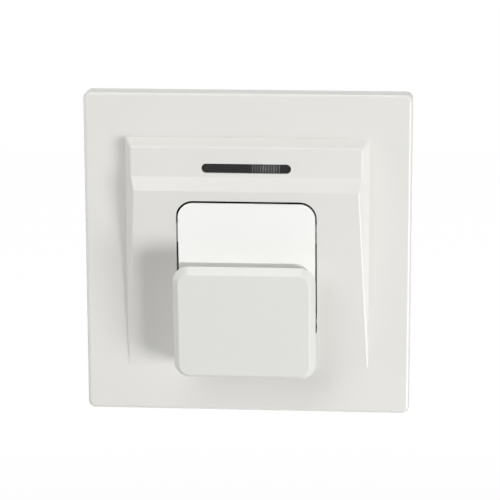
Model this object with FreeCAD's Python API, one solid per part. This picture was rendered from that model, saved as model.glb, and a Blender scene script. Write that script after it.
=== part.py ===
# Key card energy switch: an 86 mm wall plate whose raised block carries a card pocket. A card pushed
# down behind the lip presses a spring flap, the flap works a microswitch, and a relay in the wall box
# switches the room.
#
# Millimetres. X is right, Z is up and the front faces -Y. The wall plane is Y = 0 and the origin is the
# middle of the plate on it. A "depth" is measured forwards from the wall, so a depth d lies at Y = -d.
# What sits on the sloping face is drawn on a flat one, with Z up the slope from its foot, and tilted.
import FreeCAD
import Part
import math
import os
from FreeCAD import Vector

# Clearances, and how far a cut runs past what it cuts
fit_gap = 0.15
thread_play = 0.02
past = 1.0

# Wall plate
plate_width = 86.0
plate_depth = 5.5
plate_wall = 1.8
plate_corner = 1.8
plate_edge = 1.0

# Raised block: top bevel, upper band, ramp, then one long face that slopes down into the plate
block_width = 64.0
block_top = 31.2
block_bottom = -31.0
bevel_height = 1.95
band_height = 7.85
ramp_height = 3.6
band_depth = 9.0
crest_depth = 10.5
side_draft = 0.5
block_wall = 2.0
block_edge = 0.6
block_root = 0.8

# Window of the flap, measured up the sloping face
window_width = 36.9
window_start = 9.65
window_top_margin = 2.6
window_corner = 4.5
window_foot_corner = 1.0

# Card lip: a wall on its own floor, open at both sides, with two cheeks that keep the card on the face
lip_overlap = 0.15
lip_start = 0.8
lip_height = 30.75
lip_stand_off = 11.6
lip_front_wall = 3.0
lip_floor = 2.4
lip_corner = 4.2
lip_draft = 1.5
lip_draft_depth = 2.3
lip_edge = 0.4
lip_back_edge = 0.6
cheek_inset = 2.4
cheek_thickness = 1.8
cheek_drop = 2.0
cheek_lead = 7.0
card_gap = 1.1
leg_spacing = 24.0
leg_width = 5.0
leg_thickness = 1.6
leg_inset = 0.4
leg_clearance = 0.15
barb_reach = 0.6
barb_height = 0.7

# Locator window
slot_width = 23.4
slot_height = 2.5
slot_rise = 2.3
lens_gap = 0.08
lens_recess = 0.35
lens_flange_margin = 1.9
lens_flange_thickness = 1.2
rib_pitch = 0.71
rib_height = 0.28
rib_count = 18
first_rib = -4.05

# Flap and its hinge
flap_gap = 0.4
flap_top_room = 0.2
flap_top_draft = 0.55
flap_recess = 0.4
flap_thickness = 1.8
flap_edge = 0.35
flap_angle = 4.0
pin_radius = 1.0
pin_rise = 2.55
pin_setback = 2.0
pin_play = 0.05
barrel_radius = 2.0
barrel_length = 8.25
barrel_side_play = 0.3
nose_width = 14.0
nose_rise = 13.2
nose_height = 0.85
nose_half_length = 4.0
tab_length = 5.0
tab_drop = 7.0
tab_reach = 1.2
tab_root = 2.5
tab_inset = 0.4
tab_thickness = 1.2
tab_play = 0.15
finger_width = 3.0
finger_radius = 1.4
finger_play = 0.2

# Return spring: a torsion spring on the pin, one leg on the lid and one on the back of the flap
spring_wire = 0.5
spring_bore_play = 0.2
spring_turns = 4
spring_pitch = 1.0
spring_leg = 9.0
spring_play = 0.08

# Mounting frame on the wall, and the screws that hold it to the wall box
frame_edge_room = 2.2
frame_front_room = 1.3
frame_corner = 3.0
frame_window_room = 0.85
frame_window_drop = 0.8
frame_window_top = 21.0
led_slot_width = 22.0
led_slot_height = 5.4
box_screw_spacing = 60.3
box_screw_radius = 1.9
box_screw_neck_radius = 1.6
box_screw_neck = 1.5
box_screw_length = 25.0
box_screw_head_radius = 3.8
box_screw_head = 2.0
box_slot_width = 4.4
box_slot_length = 6.4
head_recess = 1.2
recess_margin = 0.5
lug_width = 3.9
lug_half_height = 2.2
lug_cap = 0.4
hook_spacing = 40.0
hook_width = 6.0
hook_thickness = 1.2
hook_gap = 0.3
hook_reach = 1.0
hook_height = 0.6
hook_lift = 0.3
hook_root = 0.5

# Rear housing in the wall box
box_screw_room = 2.65
lamp_room = 3.5
relay_room = 1.1
housing_wall = 1.8
housing_back = 2.0
housing_corner = 1.5
ledge = 1.1
post_radius = 3.0
post_inset_x = 3.6
post_inset_z = 3.4
housing_screw_radius = 1.25
housing_screw_length = 12.0
housing_screw_head_radius = 2.5
housing_screw_head = 1.8
housing_screw_clearance = 1.5
lid_thickness = 1.4
board_setback = 10.0
post_floor = 2.0
lid_opening_gap = 0.3
board_thickness = 1.6

# Terminals in the foot of the housing
terminal_count = 4
terminal_pitch = 11.0
terminal_base = 3.0
terminal_cap = 3.4
pocket_depth = 12.0
pocket_width = 8.0
pocket_height = 8.8
pocket_wall = 3.0
wire_radius = 1.6
entry_radius = 2.1
wire_setback = 3.2
clamp_depth = 8.2
terminal_screw_radius = 1.45
terminal_screw_head_radius = 3.0
terminal_screw_head = 2.0
terminal_screw_reach = 2.8
strip_width = 4.0
strip_thickness = 0.8

# Microswitch: the plunger stands out towards the flap, under the lever
switch_width = 6.4
switch_length = 20.0
switch_room = 1.4
switch_front = 0.2
lever_pivot_rise = 1.3
lever_pivot_depth = 1.0
lever_pin_radius = 0.4
lever_barrel_radius = 0.8
lever_width = 3.2
lever_length = 16.0
lever_thickness = 0.4
lever_rest_angle = 8.0
lever_play = 0.05
lever_ear_gap = 0.3
lever_ear_height = 2.2
lever_ear_cap = 0.4
ear_root = 1.0
finger_rise = 13.0
plunger_rise = 6.0
plunger_radius = 0.9
plunger_length = 4.6
plunger_play = 0.05
plunger_play_to_lever = 0.15
plunger_well = 5.0
switch_hole_radius = 1.2
switch_hole_setback = 7.1
switch_hole_low = 5.2
switch_hole_high = 14.7
switch_pin_inset = 1.5

# Parts on the board
lead_radius = 0.35
lead_hole_gap = 0.15
lead_tail = 1.0
lead_root = 1.0
led_radius = 1.5
led_length = 5.0
led_flange_radius = 1.9
led_flange = 1.0
led_spacing = 8.0
led_standoff = 0.3
led_lead_pitch = 2.54
led_lead_drop = 2.1
led_bend_start = 3.0
led_bend_end = 6.0
relay_width = 19.0
relay_height = 15.5
relay_rise = 15.3
relay_pin_inset = 2.0
film_capacitor_width = 18.0
film_capacitor_thickness = 7.0
film_capacitor_rise = 12.0
film_capacitor_lead_pitch = 15.0
can_radius = 4.0
can_rise = 11.0
can_groove = 0.5
can_groove_rise = 2.0
can_lead_pitch = 3.5
varistor_radius = 4.5
varistor_thickness = 3.6
varistor_standoff = 1.2
varistor_lead_pitch = 5.0
resistor_radius = 1.7
resistor_length = 6.0
axial_lead_reach = 1.2
diode_radius = 1.3
diode_length = 5.0
diode_pitch = 4.2
diode_count = 4
chip_width = 5.0
chip_height = 4.0
chip_rise = 1.5
chip_legs = 4
chip_leg_pitch = 1.27
chip_foot = 1.0
chip_foot_width = 0.5
transistor_radius = 2.3
transistor_rise = 4.6
transistor_lead_pitch = 2.54
transistor_flat = 1.15
moulding_edge = 0.4

# Where those parts stand: columns from the housing's walls, and heights
board_part_gap = 0.3
right_column_inset = 5.8
middle_column = 6.0
varistor_shift = 0.6
resistor_shift = 2.4
relay_z = 12.0
film_capacitor_z = -2.5
can_z = 14.5
varistor_z = 3.0
resistor_z = -5.5
diode_z = 3.4
chip_z = -3.1
transistor_rise_over_terminals = 3.1

X_AXIS = Vector(1, 0, 0)
Y_AXIS = Vector(0, 1, 0)
Z_AXIS = Vector(0, 0, 1)
ORIGIN = Vector(0, 0, 0)

# Heights and slopes worked out from the sizes above
bevel_slope = bevel_height / (band_depth - plate_depth)
band_top = block_top - bevel_height
band_bottom = band_top - band_height
crest_height = band_bottom - ramp_height
face_slope = (crest_depth - plate_depth) / (crest_height - block_bottom)
face_tilt = math.atan(face_slope)
face_length = (crest_height - block_bottom) / math.cos(face_tilt)
window_end = face_length - window_top_margin
window_middle = (window_start + window_end) / 2
lip_width = window_width + 2 * lip_overlap
lip_end = lip_start + lip_height
slot_z = band_bottom + slot_rise
cover_inside = plate_depth - plate_wall

# Sizes behind the cover, each from what it fits in or beside
frame_width = plate_width - 2 * (plate_wall + frame_edge_room)
frame_thickness = cover_inside - frame_front_room
frame_window_width = window_width + 2 * frame_window_room
board_back = board_setback + board_thickness
housing_width = box_screw_spacing - 2 * (box_screw_radius + box_screw_room)
housing_height = 2 * (slot_z + lamp_room)
housing_depth = board_back + relay_rise + relay_room + housing_back
housing_half_x = housing_width / 2 - housing_wall
housing_half_z = housing_height / 2 - housing_wall
housing_inner_x = housing_half_x - 2 * ledge
post_x = housing_width / 2 - post_inset_x
post_z = housing_height / 2 - post_inset_z
pocket_floor = housing_depth - pocket_depth
terminal_floor = pocket_floor - terminal_base
terminal_top = pocket_wall + pocket_height + terminal_cap - housing_height / 2

# Places of the parts on the back of the board, as (x, z)
right_column = housing_inner_x - right_column_inset
relay_place = (board_part_gap + relay_width / 2 - housing_inner_x, relay_z)
film_capacitor_place = (board_part_gap + film_capacitor_width / 2 - housing_inner_x, film_capacitor_z)
can_place = (middle_column, can_z)
varistor_place = (middle_column + varistor_shift, varistor_z)
resistor_place = (middle_column + resistor_shift, resistor_z)
diode_place = (right_column, diode_z)
chip_place = (right_column, chip_z)
transistor_place = (right_column, terminal_top + transistor_rise_over_terminals)


def box(x0, x1, y0, y1, z0, z1):
    """A block between two opposite corners."""
    return Part.makeBox(x1 - x0, y1 - y0, z1 - z0, Vector(x0, y0, z0))


def rod(radius, start, end):
    """A round bar from one point to another."""
    return Part.makeCylinder(radius, (end - start).Length, start, end - start)


def prism(points, along):
    """A flat outline pushed along a vector."""
    return Part.Face(Part.makePolygon(points + points[:1])).extrude(along)


def both_sides(shape):
    """The shape and its mirror image in X = 0, as a list."""
    return [shape, shape.mirror(ORIGIN, X_AXIS)]


def top_and_bottom(shapes):
    """The shapes and their mirror images in Z = 0, as a list."""
    return shapes + [shape.mirror(ORIGIN, Z_AXIS) for shape in shapes]


def join(shapes):
    """One solid from several that meet."""
    return shapes[0].fuse(shapes[1:]).removeSplitter()


def edges_along(shape, axis, low=-math.inf, high=math.inf):
    """The straight edges that run along an axis, and whose middle has a height between two values."""
    found = []
    for edge in shape.Edges:
        straight = isinstance(edge.Curve, Part.Line)
        if straight and abs(edge.Curve.Direction.dot(axis)) > 0.9999 and low < edge.CenterOfMass.z < high:
            found.append(edge)
    return found


def rim_edges(shape, y):
    """The edges that lie in the plane at this Y."""
    near = 0.01
    return [edge for edge in shape.Edges if edge.BoundBox.YMin > y - near and edge.BoundBox.YMax < y + near]


def round_cornered(x0, x1, y0, y1, z0, z1, corner):
    """A block whose four corners along Y are rounded."""
    block = box(x0, x1, y0, y1, z0, z1)
    return block.makeFillet(corner, edges_along(block, Y_AXIS))


def rounded_block(x0, x1, y0, y1, z0, z1, corner, edge):
    """The same, with the rim of its front face rounded too."""
    block = round_cornered(x0, x1, y0, y1, z0, z1, corner)
    return block.makeFillet(edge, rim_edges(block, y0))


def front_outline(shape):
    """The wire round the front face of a block."""
    front = shape.BoundBox.YMin
    faces = [face for face in shape.Faces if face.BoundBox.YMax < front + past / 2]
    return faces[0].OuterWire


def stadium(width, height, y0, y1, z):
    """A slot shape with round ends, from y0 to y1."""
    radius = height / 2
    half = width / 2 - radius
    bar = box(-half, half, y0, y1, z - radius, z + radius)
    ends = both_sides(rod(radius, Vector(half, y0, z), Vector(half, y1, z)))
    return join([bar] + ends)


def on_face(shape):
    """Takes a shape drawn on a flat face to its place on the sloping one."""
    placed = shape.copy()
    placed.rotate(ORIGIN, X_AXIS, math.degrees(face_tilt))
    placed.translate(Vector(0, -plate_depth, block_bottom))
    return placed


def point_on_face(setback, up):
    """The place of a point drawn `setback` behind the sloping face and `up` from its foot."""
    y = setback * math.cos(face_tilt) - up * math.sin(face_tilt) - plate_depth
    z = setback * math.sin(face_tilt) + up * math.cos(face_tilt) + block_bottom
    return Vector(0, y, z)


def face_y(z):
    """Y of the sloping face at a height."""
    return -plate_depth - (z - block_bottom) * face_slope


# Hinge axes, which the joints and several pieces share
flap_axis = point_on_face(flap_thickness + pin_setback, window_start + pin_rise)
switch_foot = flap_axis.z + spring_leg + switch_room
lever_axis = Vector(0, -switch_front - lever_pivot_depth, switch_foot + lever_pivot_rise)
lever_tilt = math.radians(lever_rest_angle)
finger_z = lever_axis.z + finger_rise
plunger_z = lever_axis.z + plunger_rise


def lever_y(rise, forward):
    """Y of the lever's middle plane at a height above its pivot, moved forward square to the plane."""
    return lever_axis.y - rise * math.tan(lever_tilt) - forward / math.cos(lever_tilt)


finger_y = lever_y(finger_rise, lever_thickness / 2 + finger_play + finger_radius)
plunger_y = lever_y(plunger_rise, -lever_thickness / 2 - plunger_play_to_lever)

frame_window_bottom = flap_axis.z - barrel_radius - frame_window_drop

# Where the hinge pin's lugs stand, outside the flap's barrels
lug_start = window_width / 2 - flap_gap + barrel_side_play
lug_end = lug_start + lug_width


def face_foot(depth, wall):
    """Height at which the sloping face, brought in by a wall, has this depth."""
    return block_bottom + (depth - plate_depth + wall / math.cos(face_tilt)) / face_slope


def bevel_z(depth, wall):
    """Height of the top bevel, brought in by a wall, at this depth."""
    return block_top - bevel_slope * (depth - plate_depth) - wall * math.hypot(1, bevel_slope)


def side_x(depth, wall):
    """Half width of the block between its drafted side walls, brought in by a wall, at this depth."""
    return block_width / 2 - side_draft * (depth - plate_depth) - wall * math.hypot(1, side_draft)


def block_body(wall, back):
    """The raised block from a depth outwards, brought in by a wall: a side outline between side walls."""
    crest = crest_depth - wall / math.cos(face_tilt)
    band = band_depth - wall
    outline = [
        Vector(0, -back, face_foot(back, wall)),
        Vector(0, -crest, crest_height),
        Vector(0, -band, band_bottom),
        Vector(0, -band, bevel_z(band, wall)),
        Vector(0, -back, bevel_z(back, wall)),
    ]
    side = prism(outline, X_AXIS * plate_width)
    side.translate(X_AXIS * (-plate_width / 2))
    front = crest_depth + plate_wall
    plan = [
        Vector(-side_x(back, wall), -back, -plate_width / 2),
        Vector(-side_x(front, wall), -front, -plate_width / 2),
        Vector(side_x(front, wall), -front, -plate_width / 2),
        Vector(side_x(back, wall), -back, -plate_width / 2),
    ]
    return side.common(prism(plan, Z_AXIS * plate_width))


def raised_block():
    """The outside of the block, with every edge that stands in front of the plate rounded."""
    block = block_body(0, plate_depth - block_root)
    standing = [edge for edge in block.Edges if edge.BoundBox.YMin < -plate_depth - block_edge]
    return block.makeFillet(block_edge, standing)


def window_shape(margin, y0, y1, top_room=0):
    """The window's outline on the flat drawing, made smaller by a margin, from y0 to y1."""
    half = window_width / 2 - margin
    shape = box(-half, half, y0, y1, window_start + margin, window_end - margin - top_room)
    shape = shape.makeFillet(window_corner - margin, edges_along(shape, Y_AXIS, low=window_middle))
    foot = edges_along(shape, Y_AXIS, high=window_start + window_corner)
    return shape.makeFillet(window_foot_corner - margin, foot)


def snap_legs(grow):
    """The two snap legs of the lip on the flat drawing, from the face back, grown by a clearance."""
    x0 = leg_spacing / 2 - leg_width / 2 - grow
    x1 = leg_spacing / 2 + leg_width / 2 + grow
    z0 = lip_start + leg_inset - grow
    z1 = lip_start + leg_inset + leg_thickness + grow
    return both_sides(box(x0, x1, 0, block_wall + leg_clearance + barb_height, z0, z1))


def cover_hooks():
    """Four hooks inside the cover that grip the edge of the mounting frame."""
    x0 = hook_spacing / 2 - hook_width / 2
    x1 = hook_spacing / 2 + hook_width / 2
    arm_z = frame_width / 2 + hook_gap
    arm = box(x0, x1, -cover_inside - hook_root, -hook_lift, arm_z, arm_z + hook_thickness)
    tip = box(x0, x1, -hook_lift - hook_height, -hook_lift, arm_z - hook_reach, arm_z)
    return top_and_bottom(both_sides(join([arm, tip])))


def front_cover():
    """Plate and raised block in one hollow moulding, open at the back."""
    half = plate_width / 2
    plate = rounded_block(-half, half, -plate_depth, 0, -half, half, plate_corner, plate_edge)
    inner = half - plate_wall
    plate_hollow = box(-inner, inner, -cover_inside, past, -inner, inner)
    block_hollow = block_body(block_wall, cover_inside - block_root)
    window = on_face(window_shape(0, -past, block_wall + past))
    slot = stadium(slot_width, slot_height, -band_depth - past, -band_depth + block_wall + past, slot_z)
    leg_holes = [on_face(leg) for leg in snap_legs(leg_clearance)]
    body = plate.fuse(raised_block())
    body = body.cut([plate_hollow, block_hollow, window, slot] + leg_holes)
    return join([body] + cover_hooks())


def card_lip():
    """The wall in front of the flap on its floor, with two cheeks behind it and two snap legs.

    The sides of the wall are drafted: its front face is smaller all round than its foot."""
    half = lip_width / 2
    foot_y = -lip_stand_off + lip_draft_depth
    foot = round_cornered(-half, half, foot_y, 0, lip_start, lip_end, lip_corner)
    x = half - lip_draft
    z0 = lip_start + lip_draft
    z1 = lip_end - lip_draft
    face = round_cornered(-x, x, -lip_stand_off, foot_y, z0, z1, lip_corner - lip_draft)
    drafted = Part.makeLoft([front_outline(foot), front_outline(face)], True, True)
    block = join([foot, drafted])
    block = block.makeFillet(lip_edge, rim_edges(block, -lip_stand_off))
    wall_back = -lip_stand_off + lip_front_wall
    floor = lip_start + lip_floor
    pocket = box(-half - past, half + past, wall_back, past, floor, lip_end + past)
    wall_and_floor = block.cut(pocket)
    wall_and_floor = wall_and_floor.makeFillet(lip_back_edge, rim_edges(wall_and_floor, wall_back))
    cheek_x = half - cheek_inset
    cheek_top = lip_end - cheek_drop
    outline = [
        Vector(cheek_x, wall_back - lip_back_edge, floor - lip_back_edge),
        Vector(cheek_x, wall_back - lip_back_edge, cheek_top),
        Vector(cheek_x, -card_gap, cheek_top - cheek_lead),
        Vector(cheek_x, -card_gap, floor - lip_back_edge),
    ]
    cheeks = both_sides(prism(outline, -X_AXIS * cheek_thickness))
    legs = snap_legs(0)
    barbs = []
    for leg in legs:
        place = leg.BoundBox
        barb_y = place.YMax - barb_height
        barbs.append(box(place.XMin, place.XMax, barb_y, place.YMax, place.ZMax, place.ZMax + barb_reach))
    return on_face(join([wall_and_floor] + cheeks + legs + barbs))


def indicator_lens():
    """Smoked locator lens: a ribbed bar in the slot with a flange behind the wall."""
    half = slot_width / 2 - lens_gap
    front = -band_depth + lens_recess
    back = -band_depth + block_wall
    outline = [Vector(-half, back, 0), Vector(-half, front + rib_height, 0)]
    for rib in range(rib_count):
        x = first_rib + rib * rib_pitch
        outline.append(Vector(x, front + rib_height, 0))
        outline.append(Vector(x + rib_pitch / 2, front, 0))
    outline.append(Vector(first_rib + rib_count * rib_pitch, front + rib_height, 0))
    outline.append(Vector(half, front + rib_height, 0))
    outline.append(Vector(half, back, 0))
    ribbed = prism(outline, Z_AXIS * slot_height * 2)
    ribbed.translate(Z_AXIS * (slot_z - slot_height))
    bar = stadium(2 * half, slot_height - 2 * lens_gap, front - past, back, slot_z).common(ribbed)
    flange_x = slot_width / 2 + lens_flange_margin
    flange_z = slot_height / 2 + lens_flange_margin
    flange_back = back + lens_flange_thickness
    flange = box(-flange_x, flange_x, back, flange_back, slot_z - flange_z, slot_z + flange_z)
    return join([bar, flange])


def card_flap():
    """Spring flap that fills the window: plate, press nose, hinge barrels, stop tabs and finger."""
    front = window_shape(flap_gap, flap_recess, flap_thickness, flap_top_room)
    back = window_shape(flap_gap, flap_thickness, 2 * flap_thickness, flap_top_room + flap_top_draft)
    plate = Part.makeLoft([front_outline(front), front_outline(back)], True, True)
    plate = plate.makeFillet(flap_edge, rim_edges(plate, flap_recess))
    pin_y = flap_thickness + pin_setback
    pin_z = window_start + pin_rise
    barrel_end = window_width / 2 - flap_gap
    barrel_start = barrel_end - barrel_length
    barrel = rod(barrel_radius, Vector(barrel_start, pin_y, pin_z), Vector(barrel_end, pin_y, pin_z))
    web_z0 = pin_z - barrel_radius
    web = box(barrel_start, barrel_end, flap_thickness / 2, pin_y, web_z0, pin_z + barrel_radius)
    barrels = both_sides(barrel.fuse(web))
    nose_radius = (nose_half_length ** 2 + nose_height ** 2) / (2 * nose_height)
    nose_y = nose_radius - nose_height
    nose_z = window_start + nose_rise
    nose = rod(nose_radius, Vector(-nose_width / 2, nose_y, nose_z), Vector(nose_width / 2, nose_y, nose_z))
    front_half = box(-nose_width, nose_width, -nose_height, flap_thickness / 2, window_start, window_end)
    nose = nose.common(front_half)
    tab_y = block_wall + tab_play
    tab_start = barrel_end - tab_root
    tab_end = window_width / 2 + tab_reach
    tab_top = window_end - tab_drop
    tab_foot = tab_top - tab_length
    tab = box(tab_start, tab_end, tab_y, tab_y + tab_thickness, tab_foot, tab_top)
    base_y = flap_thickness / 2
    tab_base = box(tab_start, barrel_end - tab_inset, base_y, tab_y + tab_thickness, tab_foot, tab_top)
    tabs = both_sides(tab.fuse(tab_base))
    flap = on_face(join([plate, nose] + tabs + barrels))
    root_y = face_y(finger_z) + flap_thickness / 2
    x = finger_width / 2
    finger = box(-x, x, root_y, finger_y, finger_z - finger_radius, finger_z + finger_radius)
    tip = rod(finger_radius, Vector(-x, finger_y, finger_z), Vector(x, finger_y, finger_z))
    reach = flap_axis + X_AXIS * window_width
    bore = rod(pin_radius + pin_play, flap_axis - X_AXIS * window_width, reach)
    return join([flap, finger, tip]).cut(bore)


def flap_hinge_pin():
    """Steel pin held in the frame's two lugs."""
    end = X_AXIS * (lug_end - fit_gap)
    return rod(pin_radius, flap_axis - end, flap_axis + end)


def smooth_joint(p0, t0, p1, t1):
    """Two arcs that leave p0 along t0 and reach p1 along t1 with no corner between them."""
    gap = p1 - p0
    both = t0 + t1
    a = 2 * (1 - t0.dot(t1))
    b = 2 * gap.dot(both)
    c = -gap.dot(gap)
    reach = (-b + math.sqrt(b * b - 4 * a * c)) / (2 * a) if a > 1e-9 else -c / b
    q0 = p0 + t0 * reach
    q1 = p1 - t1 * reach
    middle = (q0 + q1) * 0.5
    return [arc_by_corner(p0, q0, middle), arc_by_corner(middle, q1, p1)]


def arc_by_corner(start, corner, end):
    """The arc from start to end whose end tangents meet at a corner."""
    chord_middle = (start + end) * 0.5
    half_turn = (math.pi - (start - corner).getAngle(end - corner)) / 2
    share = math.cos(half_turn) / (1 + math.cos(half_turn))
    return Part.Arc(start, chord_middle + (corner - chord_middle) * share, end).toShape()


def flap_return_spring():
    """Torsion spring round the pin: one leg leans on the lid, the other on the back of the flap."""
    radius = pin_radius + spring_bore_play + spring_wire / 2
    rise = spring_pitch / (2 * math.pi)
    run = spring_leg * radius / math.hypot(radius, rise)

    def lean(room):
        """Angle from upright at which a leg's end is close to a wall this far from the pin's axis."""
        reach = room - spring_play - spring_wire / 2
        return math.atan2(run, radius) - math.acos(reach / math.hypot(run, radius))

    turn_start = -lean(-flap_axis.y)
    turn_end = lean(pin_setback) + face_tilt - math.pi * (2 * spring_turns + 1)
    quarters = 4 * spring_turns + 2
    total = turn_start - turn_end
    start_x = -total * rise / 2

    def place(turn):
        x = start_x + (turn_start - turn) * rise
        return Vector(x, flap_axis.y + radius * math.cos(turn), flap_axis.z + radius * math.sin(turn))

    def heading(turn):
        return Vector(rise, radius * math.sin(turn), -radius * math.cos(turn)).normalize()

    turns = [turn_start - total * step / quarters for step in range(quarters + 1)]
    first = place(turns[0])
    last = place(turns[-1])
    edges = [Part.LineSegment(first - heading(turns[0]) * spring_leg, first).toShape()]
    for this, following in zip(turns, turns[1:]):
        edges += smooth_joint(place(this), heading(this), place(following), heading(following))
    edges.append(Part.LineSegment(last, last + heading(turns[-1]) * spring_leg).toShape())
    path = Part.Wire(edges)
    circle = Part.Circle(path.Edges[0].Vertexes[0].Point, heading(turns[0]), spring_wire / 2)
    spring = path.makePipeShell([Part.Wire(circle.toShape())], True, False)
    print(f"spring wire {path.Length:.1f} mm, gap between turns {spring_pitch - spring_wire:.2f} mm")
    return spring


def frame_screw_holes():
    """Slots and head recesses for the wall box screws, and holes and recesses for the housing's."""
    cuts = []
    floor = -frame_thickness + head_recess
    x = box_screw_spacing / 2
    half_slot = box_slot_length / 2
    for side in (-1, 1):
        middle = side * x
        run = half_slot - box_slot_width / 2
        radius = box_slot_width / 2
        slot = box(middle - run, middle + run, -frame_thickness, past, -radius, radius)
        for end in (middle - run, middle + run):
            slot = slot.fuse(rod(radius, Vector(end, -frame_thickness, 0), Vector(end, past, 0)))
        cuts.append(slot)
        wide = box_screw_head_radius + recess_margin
        long = wide + run
        cuts.append(box(middle - long, middle + long, -frame_thickness - past, floor, -wide, wide))
    for sx in (-post_x, post_x):
        for sz in (-post_z, post_z):
            cuts.append(rod(housing_screw_clearance, Vector(sx, -frame_thickness, sz), Vector(sx, past, sz)))
            head = housing_screw_head_radius + recess_margin / 2
            cuts.append(rod(head, Vector(sx, -frame_thickness - past, sz), Vector(sx, floor, sz)))
    return cuts


def mounting_frame():
    """Flat frame on the wall that carries the housing, the flap's hinge and the cover's hooks."""
    half = frame_width / 2
    frame = box(-half, half, -frame_thickness, 0, -half, half)
    frame = frame.makeFillet(frame_corner, edges_along(frame, Y_AXIS))
    x = frame_window_width / 2
    window = box(-x, x, -frame_thickness - past, past, frame_window_bottom, frame_window_top)
    led_x = led_slot_width / 2
    led_slot = box(-led_x, led_x, -frame_thickness - past, past, 0, slot_z + led_slot_height / 2)
    x0 = hook_spacing / 2 - hook_width / 2 - hook_gap
    x1 = hook_spacing / 2 + hook_width / 2 + hook_gap
    seat_y = -hook_lift - hook_height - fit_gap
    hook_seat = box(x0, x1, seat_y, past, half - hook_reach, half + past)
    seats = top_and_bottom(both_sides(hook_seat))
    lug_z0 = flap_axis.z - lug_half_height
    lug_z1 = flap_axis.z + lug_half_height
    lug_top = flap_axis.y - pin_radius - lug_cap
    lugs = both_sides(box(lug_start, lug_end, lug_top, 0, lug_z0, lug_z1))
    frame = join([frame.cut([window, led_slot] + seats)] + lugs)
    bore = rod(pin_radius + thread_play, flap_axis - X_AXIS * half, flap_axis + X_AXIS * half)
    frame = frame.cut(frame_screw_holes())
    return frame.cut(bore.common(box(-lug_end, lug_end, -crest_depth, past, lug_z0, lug_z1)))


def screw(head_radius, head_height, shank_radius, shank_length, place, towards):
    """A cross-recessed pan screw whose head stands on `place` and whose shank runs along +Y or -Y."""
    head = rod(head_radius, place - Y_AXIS * (towards * head_height), place)
    outer = place.y - towards * head_height
    head = head.makeFillet(head_height * 0.4, rim_edges(head, outer))
    shank = rod(shank_radius, place, place + Y_AXIS * (towards * shank_length))
    screw_body = join([head, shank])
    arm = head_radius * 0.55
    half = head_radius * 0.13
    depth = head_height * 0.5
    y0, y1 = sorted((outer - towards, outer + towards * depth))
    cross = box(place.x - arm, place.x + arm, y0, y1, place.z - half, place.z + half)
    cross = cross.fuse(box(place.x - half, place.x + half, y0, y1, place.z - arm, place.z + arm))
    return screw_body.cut(cross)


def box_screws():
    """The two long screws that go into the lugs of the wall box, each with a plain neck under its head."""
    place = Vector(box_screw_spacing / 2, -frame_thickness + head_recess, 0)
    one = screw(box_screw_head_radius, box_screw_head, box_screw_radius, box_screw_length, place, 1)
    neck_end = place + Y_AXIS * box_screw_neck
    relief = rod(box_screw_radius + past, place, neck_end).cut(rod(box_screw_neck_radius, place, neck_end))
    return Part.makeCompound(both_sides(one.cut(relief)))


def housing_screws():
    """Four screws through the frame into the corner posts of the housing."""
    place = Vector(post_x, -frame_thickness + head_recess, post_z)
    one = screw(
        housing_screw_head_radius, housing_screw_head, housing_screw_radius, housing_screw_length, place, 1
    )
    return Part.makeCompound(top_and_bottom(both_sides(one)))


def terminal_xs():
    """Middle of each terminal."""
    return [(number - (terminal_count - 1) / 2) * terminal_pitch for number in range(terminal_count)]


def rear_housing():
    """Deep box in the wall: corner posts, ledges for lid and board, and the terminals' pockets."""
    half_x = housing_width / 2
    half_z = housing_height / 2
    housing = box(-half_x, half_x, 0, housing_depth, -half_z, half_z)
    housing = housing.makeFillet(housing_corner, edges_along(housing, Y_AXIS))
    x = housing_half_x
    z = housing_half_z
    inner_x = x - 2 * ledge
    inner_z = z - 2 * ledge
    hollows = [
        box(-x, x, -past, lid_thickness, -z, z),
        box(-x + ledge, x - ledge, 0, board_back, -z + ledge, z - ledge),
        box(-inner_x, inner_x, 0, housing_depth - housing_back, terminal_top, inner_z),
        box(-inner_x, inner_x, 0, terminal_floor, -inner_z, 0),
    ]
    housing = housing.cut(hollows)
    post_end = -frame_thickness + head_recess + housing_screw_length + post_floor
    post = rod(post_radius, Vector(post_x, 0, post_z), Vector(post_x, post_end, post_z))
    housing = join([housing] + top_and_bottom(both_sides(post)))
    hole_radius = housing_screw_radius + thread_play
    hole_end = post_end - post_floor / 2
    hole = rod(hole_radius, Vector(post_x, -past, post_z), Vector(post_x, hole_end, post_z))
    cuts = top_and_bottom(both_sides(hole))
    pocket_bottom = -half_z + pocket_wall
    for middle in terminal_xs():
        x0 = middle - pocket_width / 2
        x1 = middle + pocket_width / 2
        pocket_end = pocket_bottom + pocket_height
        cuts.append(box(x0, x1, pocket_floor, housing_depth + past, pocket_bottom, pocket_end))
        wire_y = pocket_floor + wire_setback
        wire_start = Vector(middle, wire_y, -half_z - past)
        cuts.append(rod(entry_radius, wire_start, Vector(middle, wire_y, pocket_bottom + past)))
        cuts.append(terminal_strip(middle, fit_gap))
    return housing.cut(cuts)


def terminal_strip(middle, grow):
    """The brass strip from a clamp to the board, grown by a clearance for its slot in the housing."""
    z = -housing_height / 2 + pocket_wall + pocket_height / 2
    half_x = strip_width / 2 + grow
    half_z = strip_thickness / 2 + grow
    return box(middle - half_x, middle + half_x, board_back, pocket_floor + fit_gap, z - half_z, z + half_z)


def terminal_strips():
    """One strip for each terminal."""
    return Part.makeCompound([terminal_strip(middle, 0) for middle in terminal_xs()])


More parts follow.
